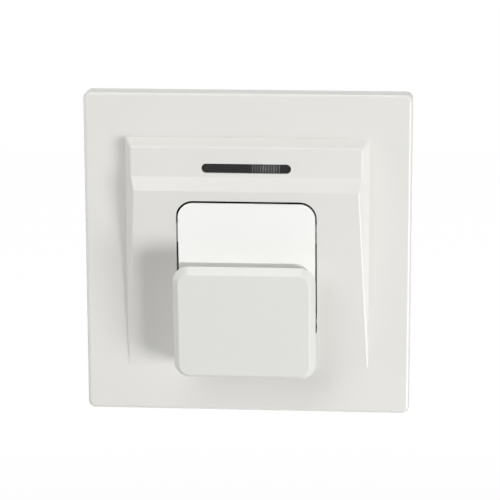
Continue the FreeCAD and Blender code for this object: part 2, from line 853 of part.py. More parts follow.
def terminal_clamps():
    """Brass clamps in the pockets, each bored for its wire and tapped for its screw."""
    clamps = []
    z0 = -housing_height / 2 + pocket_wall
    y0 = pocket_floor + fit_gap
    for middle in terminal_xs():
        x0 = middle - pocket_width / 2 + fit_gap
        x1 = middle + pocket_width / 2 - fit_gap
        clamp = box(x0, x1, y0, y0 + clamp_depth, z0, z0 + pocket_height - fit_gap)
        wire_y = pocket_floor + wire_setback
        wire = rod(wire_radius, Vector(middle, wire_y, z0 - past), Vector(middle, wire_y, z0 + pocket_height))
        thread_z = z0 + pocket_height / 2
        thread_start = Vector(middle, wire_y, thread_z)
        thread_end = Vector(middle, y0 + clamp_depth + past, thread_z)
        clamps.append(clamp.cut([wire, rod(terminal_screw_radius + thread_play, thread_start, thread_end)]))
    return Part.makeCompound(clamps)


def terminal_screws():
    """One screw for each clamp, worked from the back."""
    made = []
    for middle in terminal_xs():
        y = pocket_floor + fit_gap + clamp_depth
        z = -housing_height / 2 + pocket_wall + pocket_height / 2
        made.append(
            screw(
                terminal_screw_head_radius,
                terminal_screw_head,
                terminal_screw_radius,
                terminal_screw_reach,
                Vector(middle, y, z),
                -1,
            )
        )
    return Part.makeCompound(made)


def post_notches(gap, y0, y1):
    """Corner cuts that clear the housing's posts."""
    x = post_x - post_radius - gap
    z = post_z - post_radius - gap
    return top_and_bottom(both_sides(box(x, housing_width, y0, y1, z, housing_height)))


def led_xs():
    """Middle of each locator lamp."""
    return [-led_spacing / 2, led_spacing / 2]


def led_feet(z):
    """Places of the locator lamps' leads at a height."""
    return [(x + side * led_lead_pitch / 2, z) for x in led_xs() for side in (-1, 1)]


def insulating_lid():
    """Thin lid in the housing's mouth, behind the frame, that keeps the board covered."""
    x = housing_half_x - fit_gap
    z = housing_half_z - fit_gap
    lid = box(-x, x, 0, lid_thickness, -z, z)
    gap = lid_opening_gap
    switch_top = switch_foot + switch_length
    switch_x = switch_width / 2 + gap
    back = lid_thickness + past
    opening = box(-switch_x, switch_x, -past, back, switch_foot - gap, switch_top + gap)
    radius = lead_radius + gap
    holes = [rod(radius, Vector(fx, -past, fz), Vector(fx, back, fz)) for fx, fz in led_feet(slot_z)]
    return lid.cut([opening] + holes + post_notches(fit_gap, -past, back))


def feet_across(place, spread, along_x=True):
    """The feet of a two-lead part."""
    x, z = place
    if along_x:
        return [(x - spread / 2, z), (x + spread / 2, z)]
    return [(x, z - spread / 2), (x, z + spread / 2)]


def relay_feet():
    x, z = relay_place
    inset = relay_pin_inset
    half_x = relay_width / 2 - inset
    half_z = relay_height / 2 - inset
    return [(x + side_x * half_x, z + side_z * half_z) for side_x in (-1, 1) for side_z in (-1, 1)]


def diode_centres():
    x, z = diode_place
    return [(x, z + number * diode_pitch) for number in range(diode_count)]


def switch_feet():
    middle = switch_foot + switch_length / 2
    spread = switch_length / 2 - switch_pin_inset
    return [(0, middle - spread), (0, middle), (0, middle + spread)]


def board_feet():
    """Every lead that goes through the board."""
    feet = relay_feet() + switch_feet() + led_feet(slot_z - led_lead_drop)
    feet += feet_across(film_capacitor_place, film_capacitor_lead_pitch)
    feet += feet_across(can_place, can_lead_pitch)
    feet += feet_across(varistor_place, varistor_lead_pitch)
    feet += feet_across(resistor_place, resistor_length + 2 * axial_lead_reach)
    for centre in diode_centres():
        feet += feet_across(centre, diode_length + 2 * axial_lead_reach)
    feet += feet_across(transistor_place, transistor_lead_pitch)
    return feet


def circuit_board():
    """The board, drilled for every lead, on the ledge round the housing."""
    x = housing_half_x - ledge - fit_gap
    z = housing_half_z - ledge - fit_gap
    board = box(-x, x, board_setback, board_back, -z, z)
    radius = lead_radius + lead_hole_gap
    drills = [rod(radius, Vector(fx, 0, fz), Vector(fx, housing_depth, fz)) for fx, fz in board_feet()]
    return board.cut(drills + post_notches(fit_gap, 0, housing_depth))


def leads(feet, y0):
    """Straight leads from a part at y0 through the board to a short tail in front of it."""
    return [rod(lead_radius, Vector(x, board_setback - lead_tail, z), Vector(x, y0, z)) for x, z in feet]


def back_block(place, width, height, rise, feet):
    """A square-sided moulded part on the back of the board."""
    x, z = place
    body = box(x - width / 2, x + width / 2, board_back, board_back + rise, z - height / 2, z + height / 2)
    body = body.makeFillet(moulding_edge, edges_along(body, Y_AXIS) + rim_edges(body, board_back + rise))
    return join([body] + leads(feet, board_back + lead_root))


def power_relay():
    """Sealed mains relay."""
    return back_block(relay_place, relay_width, relay_height, relay_rise, relay_feet())


def film_capacitor():
    """Mains-dropper film capacitor."""
    feet = feet_across(film_capacitor_place, film_capacitor_lead_pitch)
    return back_block(
        film_capacitor_place, film_capacitor_width, film_capacitor_thickness, film_capacitor_rise, feet
    )


def smoothing_capacitor():
    """Electrolytic can with the rolled groove near its foot."""
    x, z = can_place
    can = rod(can_radius, Vector(x, board_back, z), Vector(x, board_back + can_rise, z))
    can = can.makeFillet(moulding_edge, rim_edges(can, board_back + can_rise))
    groove_middle = Vector(x, board_back + can_groove_rise, z)
    groove = Part.makeTorus(can_radius + can_groove / 2, can_groove, groove_middle, Y_AXIS)
    return join([can.cut(groove)] + leads(feet_across(can_place, can_lead_pitch), board_back + lead_root))


def varistor():
    """Surge disc that stands on its two leads."""
    x, z = varistor_place
    centre = Vector(x, board_back + varistor_standoff + varistor_radius, z)
    half = Z_AXIS * (varistor_thickness / 2)
    disc = rod(varistor_radius, centre - half, centre + half)
    disc = disc.makeFillet(varistor_thickness * 0.3, disc.Edges[:1] + disc.Edges[2:])
    return join([disc] + leads(feet_across(varistor_place, varistor_lead_pitch), centre.y))


def axial_part(centre, radius, length):
    """A small barrel that lies on the board along X, with its leads bent down through it."""
    x, z = centre
    y = board_back + radius
    body = rod(radius, Vector(x - length / 2, y, z), Vector(x + length / 2, y, z))
    reach = length / 2 + axial_lead_reach
    across = rod(lead_radius, Vector(x - reach, y, z), Vector(x + reach, y, z))
    down = leads(feet_across(centre, 2 * reach), y)
    return join([body, across] + down)


def fusible_resistor():
    """Fusible resistor in the live feed."""
    return axial_part(resistor_place, resistor_radius, resistor_length)


def rectifier_diodes():
    """Four diodes of the rectifier."""
    return Part.makeCompound([axial_part(centre, diode_radius, diode_length) for centre in diode_centres()])


def timer_chip():
    """Small-outline chip that times the switch-off delay, with its rows of feet."""
    x, z = chip_place
    half_x = chip_width / 2
    half_z = chip_height / 2
    top = board_back + chip_rise
    body = box(x - half_x, x + half_x, board_back, top, z - half_z, z + half_z)
    feet = []
    row = half_z + chip_foot
    half_foot = chip_foot_width / 2
    for number in range(chip_legs):
        fx = x + (number - (chip_legs - 1) / 2) * chip_leg_pitch
        feet.append(box(fx - half_foot, fx + half_foot, board_back, top - chip_rise / 2, z - row, z + row))
    return join([body] + feet)


def transistor():
    """Relay driver in a half-round case."""
    x, z = transistor_place
    case = rod(transistor_radius, Vector(x, board_back, z), Vector(x, board_back + transistor_rise, z))
    reach = 2 * transistor_radius
    flat = box(x - reach, x + reach, 0, housing_depth, z - reach, z - transistor_flat)
    feet = feet_across(transistor_place, transistor_lead_pitch)
    return join([case.cut(flat)] + leads(feet, board_back + lead_root))


def locator_leds():
    """Two lamps behind the locator lens, on long leads from the board."""
    lamps = []
    tip = -band_depth + block_wall + lens_flange_thickness + led_standoff
    for x in led_xs():
        base = tip + led_length
        bulb = rod(led_radius, Vector(x, tip, slot_z), Vector(x, base, slot_z))
        bulb = bulb.makeFillet(led_radius * 0.8, rim_edges(bulb, tip))
        flange = rod(led_flange_radius, Vector(x, base - led_flange, slot_z), Vector(x, base, slot_z))
        tails = []
        for fx, _ in feet_across((x, slot_z), led_lead_pitch):
            bends = [
                Vector(fx, base - led_flange / 2, slot_z),
                Vector(fx, led_bend_start, slot_z),
                Vector(fx, led_bend_end, slot_z - led_lead_drop),
                Vector(fx, board_back + lead_tail, slot_z - led_lead_drop),
            ]
            tails += [rod(lead_radius, start, end) for start, end in zip(bends, bends[1:])]
            tails += [Part.makeSphere(lead_radius, bend) for bend in bends[1:-1]]
        lamps.append(join([bulb, flange] + tails))
    return Part.makeCompound(lamps)


def microswitch_case():
    """Microswitch moulding with the plunger's well, two cross holes and the lever's ears."""
    x = switch_width / 2
    top = switch_foot + switch_length
    case = box(-x, x, -switch_front, board_setback, switch_foot, top)
    case = case.makeFillet(moulding_edge, edges_along(case, Y_AXIS))
    ear_x = lever_width / 2 + lever_ear_gap
    ear_y = lever_axis.y - lever_pin_radius - lever_ear_cap
    ear_z0 = lever_axis.z - lever_ear_height / 2
    ear_z1 = lever_axis.z + lever_ear_height / 2
    ears = both_sides(box(ear_x, x, ear_y, -switch_front + ear_root, ear_z0, ear_z1))
    across = X_AXIS * switch_width
    well_mouth = Vector(0, -switch_front - past, plunger_z)
    well = rod(plunger_radius + plunger_play, well_mouth, Vector(0, plunger_well, plunger_z))
    pin_hole = rod(lever_pin_radius + thread_play, lever_axis - across, lever_axis + across)
    cuts = [well, pin_hole]
    for rise in (switch_hole_low, switch_hole_high):
        middle = Vector(0, switch_hole_setback, switch_foot + rise)
        cuts.append(rod(switch_hole_radius, middle - across, middle + across))
    return join([case] + ears).cut(cuts)


def microswitch_pins():
    """Three pins under the microswitch, through the board."""
    pins = []
    for x, z in switch_feet():
        pins.append(rod(lead_radius, Vector(x, board_setback, z), Vector(x, board_back + lead_tail, z)))
    return Part.makeCompound(pins)


def microswitch_plunger():
    """Round-tipped plunger under the lever."""
    tip = Vector(0, plunger_y, plunger_z)
    plunger = rod(plunger_radius, tip, tip + Y_AXIS * plunger_length)
    return plunger.makeFillet(plunger_radius * 0.6, rim_edges(plunger, plunger_y))


def microswitch_lever():
    """Spring-steel lever, hinged at the foot of the microswitch and pressed by the flap's finger."""
    x = lever_width / 2
    strip = box(-x, x, -lever_thickness / 2, lever_thickness / 2, 0, lever_length)
    lever = join([strip, rod(lever_barrel_radius, Vector(-x, 0, 0), Vector(x, 0, 0))])
    across = X_AXIS * lever_width
    lever = lever.cut(rod(lever_pin_radius + lever_play, -across, across))
    lever.rotate(ORIGIN, X_AXIS, lever_rest_angle)
    lever.translate(lever_axis)
    return lever


def microswitch_lever_pin():
    """Pin of the microswitch lever."""
    end = X_AXIS * (switch_width / 2)
    return rod(lever_pin_radius, lever_axis - end, lever_axis + end)


PIECES = [
    front_cover,
    card_lip,
    indicator_lens,
    card_flap,
    flap_hinge_pin,
    flap_return_spring,
    mounting_frame,
    box_screws,
    housing_screws,
    rear_housing,
    insulating_lid,
    circuit_board,
    microswitch_case,
    microswitch_pins,
    microswitch_plunger,
    microswitch_lever,
    microswitch_lever_pin,
    locator_leds,
    power_relay,
    film_capacitor,
    smoothing_capacitor,
    varistor,
    fusible_resistor,
    rectifier_diodes,
    timer_chip,
    transistor,
    terminal_clamps,
    terminal_screws,
    terminal_strips,
]


def main():
    os.makedirs("parts", exist_ok=True)
    for piece in PIECES:
        shape = piece()
        if not shape.isValid():
            print("not valid:", piece.__name__)
        shape.exportStep(f"parts/{piece.__name__}.step")
        print(f"{piece.__name__}: {len(shape.Solids)} solids, {shape.Volume:.1f} mm3")
    flap_turn = math.radians(flap_angle)
    tip_move = (finger_z - flap_axis.z) * math.tan(flap_turn)
    lever_turn = math.atan(tip_move / finger_rise)
    print(f"flap axis y {flap_axis.y:.4f}, z {flap_axis.z:.4f}")
    print(f"lever axis y {lever_axis.y:.4f}, z {lever_axis.z:.4f}")
    print(f"lever turns {math.degrees(lever_turn):.3f} degrees, {lever_turn / flap_turn:.4f} per flap degree")
    plunger_move = plunger_rise * math.tan(lever_turn)
    print(f"plunger moves {plunger_move:.3f} mm, {plunger_move / 1000 / flap_turn:.6f} m for each radian")


main()
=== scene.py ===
# %% [markdown]
# # A key card switch
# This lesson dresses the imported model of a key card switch. The solids come from the CAD step and
# keep their places. Here they get finishes, lamps and a camera, and the details that repeat, such as
# the flutes of the lens and the threads of the screws. Lengths are in metres, and the front faces -Y.

import math

import bmesh
import bpy
from mathutils import Matrix, Vector


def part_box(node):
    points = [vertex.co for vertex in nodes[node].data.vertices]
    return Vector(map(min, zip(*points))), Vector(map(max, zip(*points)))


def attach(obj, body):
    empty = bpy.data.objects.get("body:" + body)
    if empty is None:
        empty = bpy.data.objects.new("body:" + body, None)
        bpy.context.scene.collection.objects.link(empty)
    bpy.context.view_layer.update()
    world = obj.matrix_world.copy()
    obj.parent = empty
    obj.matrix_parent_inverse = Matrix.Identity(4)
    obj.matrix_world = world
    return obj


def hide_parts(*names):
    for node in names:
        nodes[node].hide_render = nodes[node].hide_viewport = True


MM = 0.001
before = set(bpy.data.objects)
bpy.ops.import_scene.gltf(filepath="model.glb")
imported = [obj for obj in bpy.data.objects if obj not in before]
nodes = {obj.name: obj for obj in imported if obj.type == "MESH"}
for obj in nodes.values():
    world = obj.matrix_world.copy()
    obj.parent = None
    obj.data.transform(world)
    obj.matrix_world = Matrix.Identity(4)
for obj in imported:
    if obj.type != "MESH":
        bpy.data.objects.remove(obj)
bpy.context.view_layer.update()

# %% [markdown]
# ## The camera
# The photographer stood a little to the right and above, far enough away that the square plate hardly
# narrows towards its foot. A camera could be set by angles, but each turn of an angle depends on the
# ones before it. Three arrows, for right, up and back, are easier to read, and they are the columns of
# its rotation.

# %% Set the camera
azimuth = math.radians(4.5)
elevation = math.radians(13.26)
roll = math.radians(-0.15)
distance = 0.6381
target = Vector((0.00024, 0, -0.00009))
picture_px = 500
focal_px = 2400
sensor_mm = 36

back = Vector(
    (
        math.sin(azimuth) * math.cos(elevation),
        -math.cos(azimuth) * math.cos(elevation),
        math.sin(elevation),
    )
)
level_right = Vector((0, 0, 1)).cross(back).normalized()
right = level_right * math.cos(roll) + back.cross(level_right) * math.sin(roll)
up = back.cross(right)
lens = bpy.data.cameras.new("camera")
lens.sensor_fit = "HORIZONTAL"
lens.sensor_width = sensor_mm
lens.lens = sensor_mm * focal_px / picture_px
lens.clip_start = 0.01
lens.clip_end = 20
camera = bpy.data.objects.new("camera", lens)
turned = Matrix((right, up, back)).transposed().to_4x4()
camera.matrix_world = Matrix.Translation(target + back * distance) @ turned
bpy.context.scene.collection.objects.link(camera)
bpy.context.scene.camera = camera
print("camera at", [round(v, 3) for v in camera.location], "with a lens of", round(lens.lens, 1), "mm")

# %% [markdown]
# ## Tools for finishes
# A paint chart gives colours as sRGB hex, and a shader wants linear light, so one function turns them.
# Another adds one node to a tree, with its settings and its links, and every node here comes from it.
# A finish is then read from top to bottom like a recipe. A Mix node keeps numbers and colours apart:
# numbers go in at 2 and 3 and come out at 0, and colours go in at 6 and 7 and come out at 2.


# %% Colour and node helpers
def linear(hex_colour):
    """An sRGB hex colour as linear light, with an alpha of 1."""
    light = []
    for start in (1, 3, 5):
        value = int(hex_colour[start : start + 2], 16) / 255
        light.append(value / 12.92 if value <= 0.04045 else ((value + 0.055) / 1.055) ** 2.4)
    return (*light, 1)


def add(tree, kind, settings=None, inputs=None):
    """One node with its settings, and its inputs in order, or by name or number.

    An input is a value, a socket to link from, or a node, which stands for its first output.
    """
    node = tree.nodes.new(kind)
    for name, value in (settings or {}).items():
        setattr(node, name, value)
    if isinstance(inputs, list):
        inputs = dict(enumerate(inputs))
    for key, value in (inputs or {}).items():
        if isinstance(value, bpy.types.Node):
            value = value.outputs[0]
        if isinstance(value, bpy.types.NodeSocket):
            tree.links.new(value, node.inputs[key])
        else:
            node.inputs[key].default_value = value
    return node


def new_finish(name):
    """An empty material, and its node tree."""
    material = bpy.data.materials.new(name)
    material.use_nodes = True
    material.node_tree.nodes.clear()
    return material, material.node_tree


def close_finish(tree, surface):
    """The end of a finish: one shader with these inputs is the surface."""
    shader = add(tree, "ShaderNodeBsdfPrincipled", inputs=surface)
    add(tree, "ShaderNodeOutputMaterial", inputs={"Surface": shader})


def give(finish, *names):
    """Puts a finish on CAD pieces in place of the plain one that they were packed with."""
    for name in names:
        nodes[name].data.materials.clear()
        nodes[name].data.materials.append(finish)


# The kinds of node that come up most, and their settings
MATH = "ShaderNodeMath"
MIX = "ShaderNodeMix"
OF_NUMBERS = {"data_type": "FLOAT"}
OF_COLOURS = {"data_type": "RGBA"}
PLUS = {"operation": "ADD"}
MINUS = {"operation": "SUBTRACT"}
TIMES = {"operation": "MULTIPLY"}
OVER = {"operation": "DIVIDE"}
LARGER = {"operation": "MAXIMUM"}
UNSIGNED = {"operation": "ABSOLUTE"}
TO_POWER = {"operation": "POWER"}

# %% [markdown]
# ## Moulded plastics
# Nearly every piece is injection moulded. The mould's own surface is copied onto the part: spark
# erosion leaves a fine even grain, which spreads the highlight, and polish leaves almost none. Noise in
# a bump gives that grain. A second, broad noise blends two near shades, because a moulded wall is never
# quite one colour. Some pieces are of two stuffs, such as a resin body on tinned leads. Their second
# stuff is painted on between limits along the axes, so the same recipe serves them too.


# %% A recipe for moulded plastic
blotch_mm = 25


def inside(tree, place, limits):
    """1 where a place lies between limits in mm, given for some of its axes, and 0 elsewhere."""
    axes = add(tree, "ShaderNodeSeparateXYZ", inputs=[place]).outputs
    share = 1.0
    for axis, (low, high) in limits.items():
        middle = (low + high) / 2 * MM
        reach = (high - low) / 2 * MM
        within = add(tree, MATH, {"operation": "COMPARE"}, [axes[axis], middle, reach])
        share = add(tree, MATH, TIMES, [within, share])
    return share


def moulded(name, shades, ior, roughness, grain_mm, grain_depth_mm, painted=()):
    """Two near shades in broad soft blotches, the painted regions, and the grain of the mould."""
    material, tree = new_finish(name)
    place = add(tree, "ShaderNodeTexCoord").outputs["Object"]
    blotch_inputs = {"Vector": place, "Scale": 1 / (blotch_mm * MM), "Detail": 2.0}
    blotch = add(tree, "ShaderNodeTexNoise", inputs=blotch_inputs).outputs["Fac"]
    first, second = [linear(shade) for shade in shades]
    colour = add(tree, MIX, OF_COLOURS, {0: blotch, 6: first, 7: second}).outputs[2]
    metallic = 0.0
    for limits, hex_colour, painted_metallic, painted_roughness in painted:
        share = inside(tree, place, limits)
        colour = add(tree, MIX, OF_COLOURS, {0: share, 6: colour, 7: linear(hex_colour)}).outputs[2]
        metallic = add(tree, MIX, OF_NUMBERS, {0: share, 2: metallic, 3: painted_metallic})
        roughness = add(tree, MIX, OF_NUMBERS, {0: share, 2: roughness, 3: painted_roughness})
    grain_inputs = {"Vector": place, "Scale": 1 / (grain_mm * MM), "Detail": 3.0}
    grain = add(tree, "ShaderNodeTexNoise", inputs=grain_inputs).outputs["Fac"]
    bump = add(tree, "ShaderNodeBump", inputs={"Height": grain, "Distance": grain_depth_mm * MM})
    surface = {"Base Color": colour, "Metallic": metallic, "Roughness": roughness, "IOR": ior, "Normal": bump}
    close_finish(tree, surface)
    return material


# The cover: white ABS from a spark-eroded mould, a soft satin to the eye, with a trace of warmth
cover_abs = moulded("satin_warm_white_abs", ("#E3E2DE", "#E6E5E1"), 1.54, 0.32, 0.3, 0.0015)
# The lip: the same plastic from its own mould, a shade cooler
lip_abs = moulded("satin_white_abs", ("#E2E2DF", "#E5E5E2"), 1.54, 0.32, 0.3, 0.0015)
# The flap: a brighter white from a polished mould, so it stands out from the plate around it
polished_abs = moulded("polished_bright_abs", ("#F4F4F2", "#F5F5F3"), 1.54, 0.25, 0.3, 0.0008)
# The frame: nylon with glass fibre, whose ends break the skin, grey and rather dull
glass_nylon = moulded("glass_filled_nylon", ("#8A8D90", "#94979A"), 1.53, 0.5, 0.4, 0.006)
# The housing and the switch: charcoal plastic that doesn't burn, with a faint sheen
charcoal_pbt = moulded("flame_retardant_pbt", ("#2A2A2C", "#313133"), 1.57, 0.4, 0.4, 0.004)
# The lid over the board: black sheet, flatter than a moulding
black_sheet = moulded("insulating_sheet", ("#38383A", "#3C3C3E"), 1.49, 0.45, 0.5, 0.002)
# The plunger: slippery acetal, red so that a fitter sees it move
red_acetal = moulded("red_acetal", ("#B8321F", "#BE3A25"), 1.48, 0.3, 0.2, 0.001)
give(cover_abs, "front_cover")
give(lip_abs, "card_lip")
give(polished_abs, "card_flap")
give(glass_nylon, "mounting_frame")
give(charcoal_pbt, "rear_housing", "microswitch_case")
give(black_sheet, "insulating_lid")
give(red_acetal, "microswitch_plunger")
print("moulded finishes", [m.name for m in bpy.data.materials if m.name.endswith(("abs", "pbt", "nylon"))])

# %% [markdown]
# ## Parts on the board
# A relay, a film capacitor, lamps, diodes and the rest are each a resin or plastic body on tinned
# copper leads. The solids carry body and leads in one, so the tin is painted on by its place: the board
# lies between 10 and 11.6 mm behind the wall, and whatever of a part is nearer than its own foot is
# lead. Bands and the top of a can are painted in the same way. A separate mesh for each lead would
# show no more.

# %% Finishes of the parts on the board
TIN = "#C9CACC"
board_front_mm = 10.0
board_back_mm = 11.6
far_mm = 99


def middle_of(name):
    """Middle of a CAD piece, in mm."""
    low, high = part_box(name)
    return (low + high) / 2 / MM


def leads_before(y_mm):
    """Tinned leads on everything nearer to the front than y."""
    return ({"Y": (-far_mm, y_mm)}, TIN, 1.0, 0.3)


def leads_beside(name, axis, half_mm):
    """Tinned leads on both ends of a body of that half length, along one axis."""
    middle = getattr(middle_of(name), axis.lower())
    ends = ((middle - far_mm, middle - half_mm), (middle + half_mm, middle + far_mm))
    return [({axis: end}, TIN, 1.0, 0.3) for end in ends]


tinned_feet = leads_before(board_back_mm)
# The relay: a glossy blue sealed case
relay_case = moulded("sealed_relay_case", ("#4A7DB2", "#5084B9"), 1.57, 0.25, 0.4, 0.002, [tinned_feet])
give(relay_case, "power_relay")
# The film capacitor: a yellow box filled with resin
film_box = moulded("filled_box", ("#E5CF5F", "#E8D46B"), 1.57, 0.3, 0.4, 0.003, [tinned_feet])
give(film_box, "film_capacitor")
# The smoothing capacitor: a dark sleeve shrunk over an aluminium can, with a pale stripe on the
# negative side. Its flat end is bare metal.
can = middle_of("smoothing_capacitor")
can_top_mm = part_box("smoothing_capacitor")[1].y / MM
can_paint = [
    ({"X": (can.x + 2.5, can.x + 4.5), "Y": (board_back_mm + 3, can_top_mm - 0.6)}, "#B9BDBF", 0.0, 0.35),
    ({"Y": (can_top_mm - 0.2, can_top_mm + 1)}, "#D5D6D8", 1.0, 0.35),
    tinned_feet,
]
can_sleeve = moulded("shrunk_sleeve", ("#25282E", "#2A2D33"), 1.54, 0.3, 0.5, 0.002, can_paint)
give(can_sleeve, "smoothing_capacitor")
# The varistor: a disc dipped in blue resin, which runs a little way down its leads
varistor_foot = [leads_before(board_back_mm + 1.3)]
varistor_coat = moulded("dipped_resin", ("#3F66A6", "#466EAE"), 1.55, 0.28, 1.2, 0.03, varistor_foot)
give(varistor_coat, "varistor")
# The resistor: a green flameproof coat with colour rings
rings = [(-1.9, "#7A4B2A"), (-0.9, "#1E1E20"), (0.1, "#C9A23C"), (1.7, "#B59A4A")]
bar = middle_of("fusible_resistor")
ring_mm = 0.55
resistor_paint = [({"X": (bar.x + x, bar.x + x + ring_mm)}, hue, 0.0, 0.5) for x, hue in rings]
resistor_paint += leads_beside("fusible_resistor", "X", 3.01)
resistor_coat = moulded("flameproof_coat", ("#8FA998", "#97B0A0"), 1.55, 0.55, 0.3, 0.01, resistor_paint)
give(resistor_coat, "fusible_resistor")
# The diodes: black moulded resin with a silver ring at the cathode
row = middle_of("rectifier_diodes")
diode_paint = [({"X": (row.x + 1.2, row.x + 1.9)}, "#BDBFC1", 0.0, 0.4)]
diode_paint += leads_beside("rectifier_diodes", "X", 2.51)
diode_resin = moulded("diode_resin", ("#1E1E20", "#222224"), 1.55, 0.4, 0.3, 0.004, diode_paint)
give(diode_resin, "rectifier_diodes")
# The chip and the transistor: the same black resin, duller
chip_feet = leads_beside("timer_chip", "Z", 2.01)
chip_resin = moulded("chip_resin", ("#222224", "#262628"), 1.55, 0.5, 0.25, 0.006, chip_feet)
give(chip_resin, "timer_chip")
driver_resin = moulded("driver_resin", ("#222224", "#262628"), 1.55, 0.45, 0.3, 0.005, [tinned_feet])
give(driver_resin, "transistor")
# The locator lamps: resin as pale as water with a trace of blue, on long leads
lamp_foot = [({"Y": (-0.49, far_mm)}, TIN, 1.0, 0.3)]
lamp_resin = moulded("cast_lamp_resin", ("#DCE7EF", "#E0EAF1"), 1.52, 0.08, 2.0, 0.001, lamp_foot)
give(lamp_resin, "locator_leds")
print("a can", round(can_top_mm - board_back_mm, 1), "mm high, and diodes at x =", round(row.x, 1), "mm")

# %% [markdown]
# ## Metals
# Three metals are in the switch. The screws and pins are steel with a thin zinc plating, cool and
# slightly clouded by the bath. The spring and the lever are bright spring steel with fine lines from
# the drawing die or the roll. The terminals are stamped brass, tumbled until their edges went soft. A
# metal's colour is the colour of its reflection, so the base colour is pale and the shader is fully
# metallic. Stretched noise draws the lines, and unstretched noise the clouds.


# %% A recipe for metal
roughness_swing = 0.06


def metal(name, shades, roughness, cloud_mm, line_mm, stretch, depth_mm):
    """Two near shades in clouds, under lines that run along the axis with the small stretch."""
    material, tree = new_finish(name)
    place = add(tree, "ShaderNodeTexCoord").outputs["Object"]
    cloud_inputs = {"Vector": place, "Scale": 1 / (cloud_mm * MM)}
    cloud = add(tree, "ShaderNodeTexNoise", inputs=cloud_inputs).outputs["Fac"]
    drawn = add(tree, "ShaderNodeMapping", inputs={"Vector": place, "Scale": stretch})
    line_inputs = {"Vector": drawn, "Scale": 1 / (line_mm * MM), "Detail": 3.0}
    lines = add(tree, "ShaderNodeTexNoise", inputs=line_inputs).outputs["Fac"]
    first, second = [linear(shade) for shade in shades]
    colour = add(tree, MIX, OF_COLOURS, {0: cloud, 6: first, 7: second}).outputs[2]
    smoothest = roughness - roughness_swing
    roughest = roughness + roughness_swing
    gleam = add(tree, MIX, OF_NUMBERS, {0: lines, 2: smoothest, 3: roughest})
    bump = add(tree, "ShaderNodeBump", inputs={"Height": lines, "Distance": depth_mm * MM})
    close_finish(tree, {"Base Color": colour, "Metallic": 1.0, "Roughness": gleam, "Normal": bump})
    return material


# Zinc plating: a pale cool grey, clouded, with faint lines along the shank
zinc = metal("zinc_plated_steel", ("#C4C9CE", "#D2D3CF"), 0.3, 2.5, 0.15, (1, 0.2, 1), 0.002)
# Spring steel: darker and brighter in its gleam. Its lines are drawn 0.1 mm apart, coarser than real.
spring_steel = metal("drawn_spring_steel", ("#B4B5B8", "#BEBFC1"), 0.22, 4.0, 0.1, (1, 1, 0.1), 0.001)
# Brass: warm yellow, a little rough from the tumbling barrel
brass = metal("tumbled_brass", ("#D9BC72", "#E0C681"), 0.32, 2.0, 0.2, (1, 1, 1), 0.004)
# The pins under the switch are tinned, brighter and smoother than zinc
tin = metal("tinned_copper", (TIN, "#D6D7D8"), 0.25, 1.5, 0.1, (1, 0.2, 1), 0.001)
give(zinc, "housing_screws", "flap_hinge_pin", "microswitch_lever_pin", "box_screws")
give(spring_steel, "flap_return_spring", "microswitch_lever")
give(brass, "terminal_clamps", "terminal_screws", "terminal_strips")
give(tin, "microswitch_pins")
print("metals", [m.name for m in (zinc, spring_steel, brass, tin)])

# %% [markdown]
# ## The circuit board
# The board is glass cloth in resin, under a green mask. The cloth shows through the mask as a faint
# weave, and the sawn edges show the pale laminate itself. Two crossed waves make the weave. Its real
# threads lie about 0.25 mm apart, drawn here at 0.5 mm so that they can be seen.

# %% The board's finish
weave_mm = 0.5
mask_mm = 0.05
laminate, tree = new_finish("masked_glass_laminate")
place = add(tree, "ShaderNodeTexCoord").outputs["Object"]
threads = []
for direction in ("X", "Z"):
    wave_inputs = {"Vector": place, "Scale": math.pi / (10 * weave_mm * MM)}
    wave = add(tree, "ShaderNodeTexWave", {"bands_direction": direction}, wave_inputs)
    threads.append(wave.outputs["Fac"])
cloth = add(tree, MATH, TIMES, threads)
on_edge = inside(tree, place, {"Y": (board_front_mm + mask_mm, board_back_mm - mask_mm)})
mask_colours = {0: cloth, 6: linear("#1F6B3C"), 7: linear("#2A7A48")}
masked = add(tree, MIX, OF_COLOURS, mask_colours).outputs[2]
board_colours = {0: on_edge, 6: masked, 7: linear("#C9C49A")}
surface = {
    "Base Color": add(tree, MIX, OF_COLOURS, board_colours).outputs[2],
    "Roughness": add(tree, MIX, OF_NUMBERS, {0: on_edge, 2: 0.22, 3: 0.6}),
    "IOR": 1.55,
    "Normal": add(tree, "ShaderNodeBump", inputs={"Height": cloth, "Distance": 0.004 * MM}),
}
close_finish(tree, surface)
give(laminate, "circuit_board")
print("board with a weave of", weave_mm, "mm")

# %% [markdown]
# ## Geometry Nodes
# Flutes, threads and solder joints repeat, so each comes from a node tree with its sizes as named
# inputs: a change of one number redraws them all. Small helpers open a tree, close it and run it, and
# two more do what several trees share. The run's result is kept as a plain mesh, because an exporter
# wants faces and not a recipe.


# %% Geometry helpers
def new_shape(name, sizes):
    """A Geometry Nodes tree with named sizes in metres: the tree and its input sockets."""
    tree = bpy.data.node_groups.new(name, "GeometryNodeTree")
    tree.interface.new_socket("Geometry", in_out="INPUT", socket_type="NodeSocketGeometry")
    tree.interface.new_socket("Geometry", in_out="OUTPUT", socket_type="NodeSocketGeometry")
    for label in sizes:
        tree.interface.new_socket(label, in_out="INPUT", socket_type="NodeSocketFloat")
    return tree, add(tree, "NodeGroupInput").outputs


def close_shape(tree, geometry, finish):
    """The end of every tree: real geometry with its finish."""
    real = add(tree, "GeometryNodeRealizeInstances", inputs=[geometry])
    dressed = add(tree, "GeometryNodeSetMaterial", inputs={"Geometry": real, "Material": finish})
    add(tree, "NodeGroupOutput", inputs=[dressed])


def axes_of_points(tree):
    """The X, Y and Z of each point where the tree uses them."""
    position = add(tree, "GeometryNodeInputPosition")
    return add(tree, "ShaderNodeSeparateXYZ", inputs=[position]).outputs


